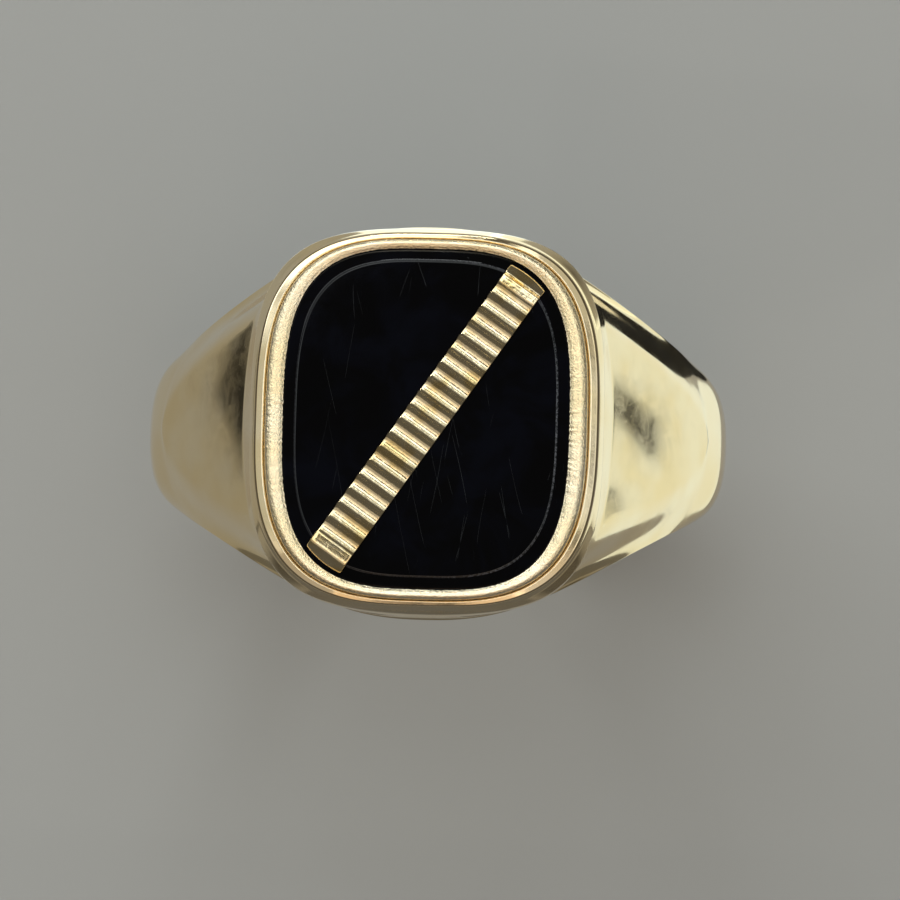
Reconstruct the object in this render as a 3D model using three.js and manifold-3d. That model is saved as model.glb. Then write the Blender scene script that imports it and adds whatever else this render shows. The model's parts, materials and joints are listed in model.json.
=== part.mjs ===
// A gents' signet ring: a tapering yellow-gold shank with leaf-shaped flats on its
// shoulders, a stepped cushion head, and a black onyx plate crossed by a fluted gold bar.
//
// Millimetres. The origin is the centre of the finger bore, +Y runs along the finger,
// +Z points out through the stone and +X runs across the band.

import * as THREE from 'three';
import { mergeVertices } from 'three/addons/utils/BufferGeometryUtils.js';
import Module from 'manifold-3d';

const wasm = await Module();
wasm.setup();

// ---------------------------------------------------------------- driving dimensions

const BORE_RADIUS = 9.9;
const BAND_RADIUS = 11.21;

// Half-width of the shank along the finger: wide under the head, narrow at the back.
const BACK_HALF_WIDTH = 1.8;
const HEAD_HALF_WIDTH = 7.2;
const TAPER_ANGLE = THREE.MathUtils.degToRad(49.3);
const TAPER_POWER = 2.44;

// The plane that the head frame is soldered on, and the shank's outline there.
const HEAD_PLANE = 11.35;
const PLINTH = { x: 6.36, y: 6.86, power: 3.4 };

// The leaf-shaped flat: its base against the head wall, its tip on the band.
const FLAT_BASE_X = 6.68;
const FLAT_BASE_Z = 10.35;
const FLAT_CORNER_X = 6.33;
const FLAT_TIP_X = 10.45;
const FLAT_HALF_WIDTH = 3.62;
const FLAT_TAPER = 0.54;
const FLAT_CROWN = 0.06;
const FLAT_EDGE_FALL = 0.12;

// The sides of the shank. Level says how far the curve starts along the finger at the
// crown instead of along the straight line to the finger hole. Squareness says how far it
// ends square to the bore at the back; under the head and the shoulders it ends in a lip,
// at an angle from the finger's line. Handles are shares of the curve's straight span, and
// the blends are angles round the finger.
const CROWN_LEVEL = { head: 0.12, shoulder: 0.45, back: 1 };
const BACK_SQUARENESS = 0.7;
const LIP_ANGLE = { head: THREE.MathUtils.degToRad(34), shoulder: THREE.MathUtils.degToRad(8) };
const LIP_HANDLE = { head: 0.16, shoulder: 0.26 };
const SIDE_HANDLE = 0.38;
const SHOULDER_BLEND = { from: 0.3, to: 0.6 };
const SQUARE_BLEND = { before: 0.3, after: 0.3 };
const TIP_BLEND = { before: 0.25, after: 0.15 };

// Cushion outlines of the head, as half-widths across the band and along the finger.
const OUTLINE_POWER = 3.05;
const FRAME_OUTER = { x: 6.2, y: 6.73 };
const FRAME_TOP = 11.92;
const FRAME_WALL = { x: 6.26, y: 6.77, drop: 0.27 };
const FRAME_ROUND = { x: 0.08, y: 0.06, drop: 0.08 };
const FRAME_SLOPE_DROP = 0.07;
const FRAME_INNER_ROUND = { x: 0.06, y: 0.045, drop: 0.05 };
const COLLAR_OUTER = { x: 5.79, y: 6.47 };
const COLLAR_TOP = 12.2;
const COLLAR_POWER = 3.1;
const COLLAR_WALL_DROP = 0.24;
const COLLAR_ROUND = { x: 0.07, y: 0.04, drop: 0.08 };
const COLLAR_CREST = { x: 5.53, y: 6.32 };
const COLLAR_LIP = { x: 5.25, y: 6.19, drop: 0.05, thickness: 0.02 };
const OPENING = { x: 5.13, y: 6.11 };
const WINDOW = { x: 4.5, y: 5.4 };
const SEAT_LEDGE = 10.32;
const SEAT_HEIGHT = 0.4;

// The onyx plate.
const STONE_POWER = 3.2;
const STONE_GIRDLE = { x: 5.3, y: 6.25 };
const STONE_TABLE = { x: 4.68, y: 5.66 };
const STONE_TOP = 12.35;
const BEVEL_DROP = 0.41;

// The fluted bar let into the plate, and the pegs that hold it.
const BAR_WIDTH = 1.56;
const BAR_BOTTOM = 11.87;
const BAR_CREST = 12.46;
const BAR_LEAN = THREE.MathUtils.degToRad(55.6);
const FLUTE_COUNT = 18;
const FLUTE_PITCH = 0.615;
const FLUTE_DEPTH = 0.14;
const BAR_PLAIN_DROP = 0.02;
const BAR_BEND_MARGIN = 0.08;
const BAR_END_MARGIN = 0.13;
const PEG_RADIUS = 0.45;
const PEG_SPACING = 6.6;
const PEG_HEAD_RADIUS = 0.72;
const PEG_HEAD_EDGE = 0.1;
const PEG_HEAD_DOME = { radius: 0.43, height: 0.04 };
const PEG_BOTTOM = 10.45;

// Fits between neighbouring pieces, and how far a cutting solid runs past what it cuts.
const FIT = 0.02;
const HOLE_CLEARANCE = 0.05;
const PAST = 1;

// Facets round a quarter of the cushion, along the shank and round small parts. The
// crowding draws the stations of the flat together towards its tip.
const QUARTER_FACETS = 14;
const FLAT_FACETS = 14;
const FLAT_CROWDING = 1.4;
const BAND_FACETS = 16;
const SIDE_FACETS = 6;
const ACROSS_FACETS = 5;
const ROUND_FACETS = 20;

// ---------------------------------------------------------------- materials

const gold = (color) => new THREE.MeshStandardMaterial({ color, roughness: 0.16, metalness: 1 });
const polishedGold = gold(0xd9b877);
const frameGold = gold(0xe2c488);
const collarGold = gold(0xead3a0);
const barGold = gold(0xe6c98c);
const seatGold = gold(0xc9a765);
const pegGold = gold(0xcfae6c);
const onyx = new THREE.MeshStandardMaterial({ color: 0x08080b, roughness: 0.06, metalness: 0 });

// ---------------------------------------------------------------- outlines and sections

/** A point of a cushion outline, a superellipse, in the direction of a polar angle. */
function cushionPoint(half, power, angle) {
  const across = Math.abs(Math.cos(angle) / half.x) ** power;
  const along = Math.abs(Math.sin(angle) / half.y) ** power;
  const reach = (across + along) ** (-1 / power);
  return new THREE.Vector2(reach * Math.cos(angle), reach * Math.sin(angle));
}

/** Half-width of the finger-hole edge at an angle from the head round the finger. */
function holeHalfWidth(phi) {
  return BACK_HALF_WIDTH
    + (HEAD_HALF_WIDTH - BACK_HALF_WIDTH) / (1 + (phi / TAPER_ANGLE) ** TAPER_POWER);
}

const tipZ = Math.sqrt(BAND_RADIUS ** 2 - FLAT_TIP_X ** 2);
const tipAngle = Math.atan2(FLAT_TIP_X, tipZ);
const flatSlope = (tipZ - FLAT_BASE_Z) / (FLAT_TIP_X - FLAT_BASE_X);

/** Height of the flat on the shoulder: a slope, slightly crowned and fallen at its edges. */
function flatHeight(x, y) {
  const along = (x - FLAT_BASE_X) / (FLAT_TIP_X - FLAT_BASE_X);
  const crown = FLAT_CROWN * 4 * along * (1 - along);
  const fall = FLAT_EDGE_FALL * (y / FLAT_HALF_WIDTH) ** 2 * (1 - along);
  return FLAT_BASE_Z + flatSlope * (x - FLAT_BASE_X) + crown - fall;
}

const smooth = THREE.MathUtils.smoothstep;
const lerp = THREE.MathUtils.lerp;

/** The point on the cylinder of a radius, at an angle from the head and a place along it. */
function aroundFinger(phi, radius, y) {
  return new THREE.Vector3(radius * Math.sin(phi), y, radius * Math.cos(phi));
}

/**
 * One side of the shank at a station: a cubic curve in the plane of the angle, from the
 * crown edge down to the finger-hole edge, leaving both ends at angles that turn a flat
 * head wall into the rounded back of the band.
 */
function sideCurve(top) {
  const phi = Math.atan2(top.x, top.z);
  const topRadius = Math.hypot(top.x, top.z);
  const edge = holeHalfWidth(phi);
  const rise = topRadius - BORE_RADIUS;
  const run = edge - top.y;
  const slant = Math.atan2(rise, run);
  const onShoulder = smooth(phi, SHOULDER_BLEND.from, SHOULDER_BLEND.to);
  const onBack = smooth(phi, tipAngle - TIP_BLEND.before, tipAngle + TIP_BLEND.after);
  const level = lerp(CROWN_LEVEL.head, CROWN_LEVEL.shoulder, onShoulder)
    + (CROWN_LEVEL.back - CROWN_LEVEL.shoulder) * onBack;
  const crownAngle = slant * (1 - level);
  const toSquare = smooth(phi, tipAngle - SQUARE_BLEND.before, tipAngle + SQUARE_BLEND.after);
  const lipAngle = lerp(LIP_ANGLE.head, LIP_ANGLE.shoulder, onShoulder);
  const lipHandle = lerp(LIP_HANDLE.head, LIP_HANDLE.shoulder, onShoulder);
  const edgeAngle = lerp(lipAngle, lerp(slant, Math.PI / 2, BACK_SQUARENESS), toSquare);
  const span = Math.hypot(rise, run);
  const reach = span * SIDE_HANDLE;
  const lipReach = span * lerp(lipHandle, SIDE_HANDLE, toSquare);
  const curve = new THREE.CubicBezierCurve(
    new THREE.Vector2(top.y, topRadius),
    new THREE.Vector2(top.y + reach * Math.cos(crownAngle), topRadius - reach * Math.sin(crownAngle)),
    new THREE.Vector2(edge - lipReach * Math.cos(edgeAngle), BORE_RADIUS + lipReach * Math.sin(edgeAngle)),
    new THREE.Vector2(edge, BORE_RADIUS),
  );
  return curve.getPoints(SIDE_FACETS).map((p) => aroundFinger(phi, p.y, p.x));
}

// ---------------------------------------------------------------- meshes from grids

/** Triangles of a grid of points, given as rows; flip turns them round. */
function addGrid(triangles, rows, flip) {
  for (let i = 0; i + 1 < rows.length; i += 1) {
    for (let j = 0; j + 1 < rows[i].length; j += 1) {
      const [a, b, c, d] = [rows[i][j], rows[i + 1][j], rows[i + 1][j + 1], rows[i][j + 1]];
      triangles.push(...(flip ? [[a, c, b], [a, d, c]] : [[a, b, c], [a, c, d]]));
    }
  }
}

/** A geometry from triangles of points, with shared vertices and no empty triangles. */
function geometryOf(triangles) {
  const positions = triangles.flat().flatMap((p) => [p.x, p.y, p.z]);
  const loose = new THREE.BufferGeometry();
  loose.setAttribute('position', new THREE.Float32BufferAttribute(positions, 3));
  const merged = mergeVertices(loose, 1e-4);
  const index = merged.getIndex().array;
  const kept = [];
  for (let i = 0; i < index.length; i += 3) {
    const [a, b, c] = index.slice(i, i + 3);
    if (a !== b && b !== c && c !== a) kept.push(a, b, c);
  }
  merged.setIndex(kept);
  return merged;
}

/** A patch given for the quarter +X +Y, mirrored into all four quarters of the ring. */
function addQuarters(triangles, rows, flip) {
  for (const signX of [1, -1]) {
    for (const signY of [1, -1]) {
      const mirrored = rows.map((row) => row.map(
        (p) => new THREE.Vector3(p.x * signX, p.y * signY, p.z),
      ));
      addGrid(triangles, mirrored, flip !== (signX * signY < 0));
    }
  }
}

/** A ring that follows a cushion outline: a closed profile of levels carried round it. */
function cushionRing(levels) {
  const count = QUARTER_FACETS * 4;
  const rows = [...levels, levels[0]].map((level) => {
    const row = [];
    for (let i = 0; i <= count; i += 1) {
      const angle = (i % count) * 2 * Math.PI / count;
      const p = cushionPoint(level, level.power ?? OUTLINE_POWER, angle);
      row.push(new THREE.Vector3(p.x, p.y, level.z));
    }
    return row;
  });
  const triangles = [];
  addGrid(triangles, rows, true);
  return geometryOf(triangles);
}

/** A solid cushion block: outlines stacked from the bottom up, closed by flat ends. */
function cushionBlock(levels) {
  const bottom = { ...levels[0], x: 0, y: 0 };
  const top = { ...levels[levels.length - 1], x: 0, y: 0 };
  const count = QUARTER_FACETS * 4;
  const rows = [bottom, ...levels, top].map((level) => {
    const row = [];
    for (let i = 0; i <= count; i += 1) {
      const angle = (i % count) * 2 * Math.PI / count;
      const p = level.x > 0 ? cushionPoint(level, level.power, angle) : { x: 0, y: 0 };
      row.push(new THREE.Vector3(p.x, p.y, level.z));
    }
    return row;
  });
  const triangles = [];
  addGrid(triangles, rows, true);
  return geometryOf(triangles);
}

// ---------------------------------------------------------------- solids for cutting

/** A manifold solid of a closed geometry, moved and turned by a matrix. */
function solidOf(geometry, matrix = new THREE.Matrix4()) {
  const bare = geometry.clone().applyMatrix4(matrix);
  bare.deleteAttribute('normal');
  bare.deleteAttribute('uv');
  const merged = mergeVertices(bare, 1e-4);
  return new wasm.Manifold(new wasm.Mesh({
    numProp: 3,
    vertProperties: new Float32Array(merged.getAttribute('position').array),
    triVerts: new Uint32Array(merged.getIndex().array),
  }));
}

function geometryOfSolid(solid) {
  const mesh = solid.getMesh();
  const geometry = new THREE.BufferGeometry();
  geometry.setAttribute('position', new THREE.Float32BufferAttribute(mesh.vertProperties, 3));
  geometry.setIndex([...mesh.triVerts]);
  return geometry;
}

const alongBar = new THREE.Matrix4().makeRotationZ(BAR_LEAN);

// ---------------------------------------------------------------- the pieces

/**
 * The shank is worked out for one quarter and mirrored. Stations run from the middle of
 * the head along the plinth outline, down the head wall, along the edge of the flat and
 * round the crown of the band to the back.
 */
function shankGeometry() {
  const cornerY = FLAT_HALF_WIDTH;
  const cornerX = PLINTH.x * (1 - (cornerY / PLINTH.y) ** PLINTH.power) ** (1 / PLINTH.power);
  const cornerAngle = Math.atan2(cornerY, cornerX);
  const plinthPoint = (angle) => {
    const p = cushionPoint(PLINTH, PLINTH.power, angle);
    return new THREE.Vector3(p.x, p.y, HEAD_PLANE);
  };

  const headTops = [];
  for (let i = 0; i <= QUARTER_FACETS; i += 1) {
    headTops.push(plinthPoint(lerp(Math.PI / 2, cornerAngle, i / QUARTER_FACETS)));
  }

  // Rows across the flat, from the middle to its edge: the first lies on the plinth
  // outline, the second at the foot of the head wall, the last at the tip.
  const plinthRow = [];
  for (let j = 0; j <= ACROSS_FACETS; j += 1) {
    plinthRow.push(plinthPoint(cornerAngle * j / ACROSS_FACETS));
  }
  const flatRows = [plinthRow];
  for (let i = 0; i <= FLAT_FACETS; i += 1) {
    const along = 1 - (1 - i / FLAT_FACETS) ** FLAT_CROWDING;
    const edgeX = lerp(FLAT_CORNER_X, FLAT_TIP_X, along);
    const halfWidth = FLAT_HALF_WIDTH * (1 - along) ** FLAT_TAPER;
    const bow = (FLAT_BASE_X - FLAT_CORNER_X) * (1 - along);
    const row = [];
    for (let j = 0; j <= ACROSS_FACETS; j += 1) {
      const part = plinthRow[j].y / cornerY;
      const x = edgeX + bow * (1 - part ** 2);
      row.push(new THREE.Vector3(x, halfWidth * part, flatHeight(x, halfWidth * part)));
    }
    flatRows.push(row);
  }

  const bandTops = [];
  for (let i = 0; i <= BAND_FACETS; i += 1) {
    bandTops.push(aroundFinger(lerp(tipAngle, Math.PI, i / BAND_FACETS), BAND_RADIUS, 0));
  }

  const flatTops = flatRows.map((row) => row[ACROSS_FACETS]);
  const tops = [...headTops, ...flatTops.slice(1), ...bandTops.slice(1)];
  const sides = tops.map(sideCurve);

  const triangles = [];
  addQuarters(triangles, sides, false);
  addQuarters(triangles, flatRows, false);

  // The head from the plinth outline in: the pocket, its ledge, the window and the bore.
  const headOutline = [...plinthRow, ...[...headTops].reverse().slice(1)];
  const ring = (half, power, height) => headOutline.map((p) => {
    const q = cushionPoint(half, power, Math.atan2(p.y, p.x));
    return new THREE.Vector3(q.x, q.y, height(q.x));
  });
  const onBore = (x) => Math.sqrt(BORE_RADIUS ** 2 - x ** 2);
  const pocket = { x: COLLAR_OUTER.x + FIT, y: COLLAR_OUTER.y + FIT };
  const windowOnBore = ring(WINDOW, OUTLINE_POWER, onBore);
  const cornerPhi = Math.atan2(headTops[QUARTER_FACETS].x, HEAD_PLANE);
  const boreEdge = [
    ...plinthRow.map((p) => aroundFinger(
      cornerPhi, BORE_RADIUS, holeHalfWidth(cornerPhi) * p.y / cornerY,
    )),
    ...sides.slice(0, QUARTER_FACETS).reverse().map((side) => side[SIDE_FACETS]),
  ];
  const boreMiddle = windowOnBore.map((p, i) => {
    const x = (p.x + boreEdge[i].x) / 2;
    return new THREE.Vector3(x, (p.y + boreEdge[i].y) / 2, onBore(x));
  });
  addQuarters(triangles, [
    headOutline,
    ring(pocket, OUTLINE_POWER, () => HEAD_PLANE),
    ring(pocket, OUTLINE_POWER, () => SEAT_LEDGE),
    ring(WINDOW, OUTLINE_POWER, () => SEAT_LEDGE),
    windowOnBore,
    boreMiddle,
    boreEdge,
  ], true);

  // The rest of the bore, round the back of the finger.
  const boreRows = sides.slice(QUARTER_FACETS).map((side) => {
    const edge = side[SIDE_FACETS];
    return plinthRow.map((p) => new THREE.Vector3(edge.x, edge.y * p.y / cornerY, edge.z));
  });
  addQuarters(triangles, boreRows, true);
  return geometryOf(triangles);
}

/** The stepped outer frame of the head, flaring down to the shank's plinth. */
function headFrameGeometry() {
  const inner = { x: COLLAR_OUTER.x + FIT, y: COLLAR_OUTER.y + FIT };
  return cushionRing([
    { x: PLINTH.x, y: PLINTH.y, z: HEAD_PLANE + FIT, power: PLINTH.power },
    { x: FRAME_WALL.x, y: FRAME_WALL.y, z: FRAME_TOP - FRAME_WALL.drop },
    { ...FRAME_OUTER, z: FRAME_TOP - FRAME_SLOPE_DROP - FRAME_ROUND.drop },
    {
      x: FRAME_OUTER.x - FRAME_ROUND.x,
      y: FRAME_OUTER.y - FRAME_ROUND.y,
      z: FRAME_TOP - FRAME_SLOPE_DROP,
    },
    { x: inner.x + FRAME_INNER_ROUND.x, y: inner.y + FRAME_INNER_ROUND.y, z: FRAME_TOP },
    { ...inner, z: FRAME_TOP - FRAME_INNER_ROUND.drop },
    { ...inner, z: HEAD_PLANE + FIT },
  ]);
}

const bevelSlope = BEVEL_DROP / (STONE_GIRDLE.x - STONE_TABLE.x);

/** The collar whose top edge is rubbed over the bevel of the stone. */
function collarGeometry() {
  const wall = { x: STONE_GIRDLE.x + FIT, y: STONE_GIRDLE.y + FIT };
  const bottom = SEAT_LEDGE + FIT;
  const lip = STONE_TOP - bevelSlope * (OPENING.x - STONE_TABLE.x) + FIT;
  return cushionRing([
    { ...COLLAR_OUTER, z: bottom },
    { ...COLLAR_OUTER, z: COLLAR_TOP - COLLAR_WALL_DROP },
    {
      x: COLLAR_OUTER.x - COLLAR_ROUND.x,
      y: COLLAR_OUTER.y - COLLAR_ROUND.y,
      z: COLLAR_TOP - COLLAR_ROUND.drop,
    },
    { ...COLLAR_CREST, z: COLLAR_TOP, power: COLLAR_POWER },
    { x: COLLAR_LIP.x, y: COLLAR_LIP.y, z: COLLAR_TOP - COLLAR_LIP.drop, power: STONE_POWER },
    { ...OPENING, z: lip + COLLAR_LIP.thickness, power: STONE_POWER },
    { ...OPENING, z: lip, power: STONE_POWER },
    { ...wall, z: STONE_TOP - BEVEL_DROP + FIT, power: STONE_POWER },
    { ...wall, z: bottom, power: STONE_POWER },
  ]);
}

/** The bearing ring under the edge of the stone. */
function stoneSeatGeometry() {
  const bottom = SEAT_LEDGE + FIT;
  return cushionRing([
    { ...STONE_GIRDLE, z: bottom, power: STONE_POWER },
    { ...STONE_GIRDLE, z: bottom + SEAT_HEIGHT, power: STONE_POWER },
    { ...WINDOW, z: bottom + SEAT_HEIGHT },
    { ...WINDOW, z: bottom },
  ]);
}

const stoneBottom = SEAT_LEDGE + FIT + SEAT_HEIGHT + FIT;
const pegPlaces = [-PEG_SPACING / 2, PEG_SPACING / 2];

/** A round pin along Z from its bottom to its top. */
function roundPin(radius, bottom, top) {
  const profile = [[0, bottom], [radius, bottom], [radius, top], [0, top]];
  return new THREE.LatheGeometry(profile.map(([x, y]) => new THREE.Vector2(x, y)), ROUND_FACETS)
    .rotateX(Math.PI / 2);
}

/** The onyx plate: a flat table, a bevel all round, a channel for the bar and two holes. */
function onyxGeometry() {
  const plate = solidOf(cushionBlock([
    { ...STONE_GIRDLE, z: stoneBottom, power: STONE_POWER },
    { ...STONE_GIRDLE, z: STONE_TOP - BEVEL_DROP, power: STONE_POWER },
    { ...STONE_TABLE, z: STONE_TOP, power: STONE_POWER },
  ]));
  const floor = BAR_BOTTOM - FIT;
  const channelHeight = STONE_TOP + PAST - floor;
  const channelLength = 3 * STONE_GIRDLE.y;
  const channel = new THREE.BoxGeometry(channelLength, BAR_WIDTH + 2 * FIT, channelHeight)
    .translate(0, 0, floor + channelHeight / 2);
  let stone = plate.subtract(solidOf(channel, alongBar));
  for (const place of pegPlaces) {
    const hole = roundPin(PEG_RADIUS + HOLE_CLEARANCE, stoneBottom - PAST, floor + PAST);
    stone = stone.subtract(solidOf(hole.translate(place, 0, 0), alongBar));
  }
  return geometryOfSolid(stone);
}

/** The bar: hollow flutes across it, plain ends that bend down with the bevel. */
function barGeometry() {
  const outline = new THREE.Shape();
  const fluted = FLUTE_COUNT * FLUTE_PITCH / 2;
  const bendStart = cushionPoint(STONE_TABLE, STONE_POWER, BAR_LEAN).length() - BAR_BEND_MARGIN;
  const end = bendStart + PAST;
  const plainTop = BAR_CREST - BAR_PLAIN_DROP;
  const endTop = plainTop - bevelSlope * (end - bendStart);
  outline.moveTo(-end, endTop - PAST);
  outline.lineTo(-end, endTop);
  outline.lineTo(-bendStart, plainTop);
  outline.lineTo(-fluted, plainTop);
  for (let i = 0; i < FLUTE_COUNT; i += 1) {
    const start = -fluted + i * FLUTE_PITCH;
    outline.quadraticCurveTo(
      start + FLUTE_PITCH / 2, BAR_CREST - 2 * FLUTE_DEPTH, start + FLUTE_PITCH, BAR_CREST,
    );
  }
  outline.lineTo(fluted, plainTop);
  outline.lineTo(bendStart, plainTop);
  outline.lineTo(end, endTop);
  outline.lineTo(end, endTop - PAST);
  const strip = new THREE.ExtrudeGeometry(outline, {
    depth: BAR_WIDTH, bevelEnabled: false, curveSegments: 4,
  });
  strip.translate(0, 0, -BAR_WIDTH / 2).rotateX(Math.PI / 2);
  const reach = { x: OPENING.x - BAR_END_MARGIN, y: OPENING.y - BAR_END_MARGIN, power: STONE_POWER };
  const cutter = solidOf(cushionBlock([
    { ...reach, z: BAR_BOTTOM },
    { ...reach, z: BAR_CREST + PAST },
  ]));
  return geometryOfSolid(solidOf(strip, alongBar).intersect(cutter));
}

/** A peg with a riveted head under the stone. */
function pegGeometry() {
  const headTop = stoneBottom - FIT;
  const profile = [
    [0, PEG_BOTTOM],
    [PEG_HEAD_DOME.radius, PEG_BOTTOM + PEG_HEAD_DOME.height],
    [PEG_HEAD_RADIUS, headTop - PEG_HEAD_EDGE],
    [PEG_HEAD_RADIUS, headTop],
    [PEG_RADIUS, headTop],
    [PEG_RADIUS, BAR_BOTTOM - FIT],
    [0, BAR_BOTTOM - FIT],
  ];
  return new THREE.LatheGeometry(profile.map(([x, y]) => new THREE.Vector2(x, y)), ROUND_FACETS)
    .rotateX(Math.PI / 2);
}

// ---------------------------------------------------------------- the assembly

const ring = new THREE.Group();

function addPiece(name, geometry, material) {
  const piece = new THREE.Mesh(geometry, material);
  piece.name = name;
  ring.add(piece);
  return piece;
}

addPiece('shank', shankGeometry(), polishedGold);
addPiece('head_frame', headFrameGeometry(), frameGold);
addPiece('setting_collar', collarGeometry(), collarGold);
addPiece('stone_seat', stoneSeatGeometry(), seatGold);
addPiece('onyx_plate', onyxGeometry(), onyx);
addPiece('fluted_bar', barGeometry(), barGold);
const pegNames = ['bar_peg_lower', 'bar_peg_upper'];
pegPlaces.forEach((place, i) => {
  const peg = addPiece(pegNames[i], pegGeometry(), pegGold);
  peg.position.set(place * Math.cos(BAR_LEAN), place * Math.sin(BAR_LEAN), 0);
});

export default ring;
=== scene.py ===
import json
from math import atan2, cos, hypot, pi, radians, sin, sqrt, tan

import bmesh
import bpy
import numpy as np
from bpy.props import FloatProperty, FloatVectorProperty, IntProperty, PointerProperty
from mathutils import Matrix, Vector


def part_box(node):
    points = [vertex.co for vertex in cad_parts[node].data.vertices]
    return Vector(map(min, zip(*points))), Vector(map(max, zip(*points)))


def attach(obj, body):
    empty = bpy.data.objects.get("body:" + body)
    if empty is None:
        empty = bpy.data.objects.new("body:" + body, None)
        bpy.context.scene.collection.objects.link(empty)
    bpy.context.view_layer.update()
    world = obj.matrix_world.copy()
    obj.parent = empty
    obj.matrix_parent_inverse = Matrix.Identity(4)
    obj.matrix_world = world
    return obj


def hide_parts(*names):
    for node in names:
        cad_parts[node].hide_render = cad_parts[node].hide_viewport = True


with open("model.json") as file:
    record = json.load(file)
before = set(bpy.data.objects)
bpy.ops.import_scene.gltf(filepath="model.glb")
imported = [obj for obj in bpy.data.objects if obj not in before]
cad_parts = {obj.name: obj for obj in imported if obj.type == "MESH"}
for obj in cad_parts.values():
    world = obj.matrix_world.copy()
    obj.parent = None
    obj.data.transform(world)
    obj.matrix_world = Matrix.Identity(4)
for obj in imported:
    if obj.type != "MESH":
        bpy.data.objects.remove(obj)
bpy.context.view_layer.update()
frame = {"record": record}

bl_info = {
    "name": "Signet Ring",
    "version": (1, 0, 0),
    "blender": (4, 5, 0),
    "location": "3D View > Sidebar > Signet Ring",
    "description": "A gents' gold signet ring with an onyx plate and a fluted bar, and its studio",
    "category": "Object",
}

# Lengths are in metres. The origin is the centre of the finger hole, +Y runs along the
# finger, +Z points out through the stone and +X runs across the band.
MM = 0.001

# Tints of the lights.
COOL = (0.86, 1.0, 0.98)
WHITE = (0.94, 1.0, 1.0)
WARM = (1.0, 0.92, 0.82)
ORANGE = (1.0, 0.76, 0.55)
BODY = "root"


def top_of(node):
    """The highest corner of a frame node, which gives its half-widths and its top."""
    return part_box(node)[1]


def bottom_of(node):
    """The lowest corner of a frame node."""
    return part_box(node)[0]


def slot_colour(name):
    """The colour that the record gives a material slot."""
    return next(m["base_color"] for m in frame["record"]["materials"] if m["slot"] == name)


def middle_of(node):
    """The middle of a frame node's box, as a Vector."""
    return (top_of(node) + bottom_of(node)) / 2


# The gap that neighbouring pieces of the head keep.
FIT = bottom_of("onyx_plate").z - top_of("stone_seat").z


# ---------------------------------------------------------------- settings in the sidebar


def length(name, default, description):
    """A length in metres."""
    return FloatProperty(
        name=name, description=description, default=default, min=0.0, precision=5,
        subtype="DISTANCE", unit="LENGTH",
    )


def angle(name, default, description):
    """An angle, kept in radians."""
    return FloatProperty(
        name=name, description=description, default=default, subtype="ANGLE", unit="ROTATION",
    )


def share(name, default, description, highest=1.0):
    """A plain number without a unit."""
    return FloatProperty(
        name=name, description=description, default=default, min=0.0, max=highest,
    )


def colour(name, default, description):
    """A colour without alpha."""
    return FloatVectorProperty(
        name=name, description=description, default=default, size=3, min=0.0, max=1.0,
        subtype="COLOR",
    )


class ShankSizes(bpy.types.PropertyGroup):
    """Sizes of the band and its shoulders."""

    bore_radius: length("Bore radius", 9.9 * MM, "Inside radius of the finger hole")
    band_radius: length("Band radius", top_of("shank").x, "Outside radius of the band")
    back_half_width: length("Back half-width", 1.8 * MM, "Half-width of the band at the back")
    head_half_width: length(
        "Head half-width", top_of("shank").y, "Half-width of the finger hole under the head")
    taper_angle: angle("Taper angle", radians(49.3), "Where the taper has gone half way")
    taper_power: share("Taper power", 2.44, "How suddenly the width tapers", 6.0)
    head_plane: length("Head plane", 11.35 * MM, "Height of the plane under the head frame")
    flat_base_x: length("Flat base", 6.68 * MM, "Where the middle of the flat meets the head wall")
    flat_base_z: length("Flat base height", 10.35 * MM, "Height of the flat at the head wall")
    flat_corner_x: length("Flat corner", 6.33 * MM, "Where the edges of the flat meet the wall")
    flat_tip_x: length("Flat tip", 10.45 * MM, "Where the flat runs out on the band")
    flat_half_width: length("Flat half-width", 3.62 * MM, "Half-width of the flat at its base")
    flat_taper: share("Flat taper", 0.54, "How the flat narrows towards its tip")
    flat_crown: length("Flat crown", 0.06 * MM, "How far the middle of the flat stands proud")
    flat_edge_fall: length("Flat edge fall", 0.12 * MM, "How far the flat falls at its edges")
    flat_round: length("Flat edge round", 0.16 * MM, "Rounding of the edge of the flat")
    foot_round: length("Foot round", 0.1 * MM, "Rounding in the corner under the head wall")
    hole_round: length("Hole edge round", 0.14 * MM, "Rounding of the edges of the finger hole")


class HeadSizes(bpy.types.PropertyGroup):
    """Sizes of the frame, the collar and the seat."""

    outline_power: share("Outline power", 3.05, "Squareness of the cushion outline", 8.0)
    stone_power: share("Stone power", 3.2, "Squareness of the stone's outline", 8.0)
    plinth_power: share("Plinth power", 3.4, "Squareness of the outline under the frame", 8.0)
    frame_half_x: length("Frame half-width", 6.2 * MM, "Half-width of the frame across the band")
    frame_half_y: length("Frame half-length", 6.73 * MM, "Half-length along the finger")
    opening_half_x: length("Opening half-width", 5.13 * MM, "Half-width of the collar's opening")
    opening_half_y: length("Opening half-length", 6.11 * MM, "Half-length of the opening")
    window_half_x: length("Window half-width", 4.5 * MM, "Half-width of the window behind the stone")
    window_half_y: length("Window half-length", 5.4 * MM, "Half-length of the window")
    table_half_x: length("Table half-width", 4.68 * MM, "Half-width of the stone's flat table")
    table_half_y: length("Table half-length", 5.66 * MM, "Half-length of the stone's table")
    bevel_drop: length("Bevel drop", 0.41 * MM, "Height of the bevel round the table")
    lip_wobble: length("Lip wobble", 0.03 * MM, "Unevenness of the lip rubbed over the stone")


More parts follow.
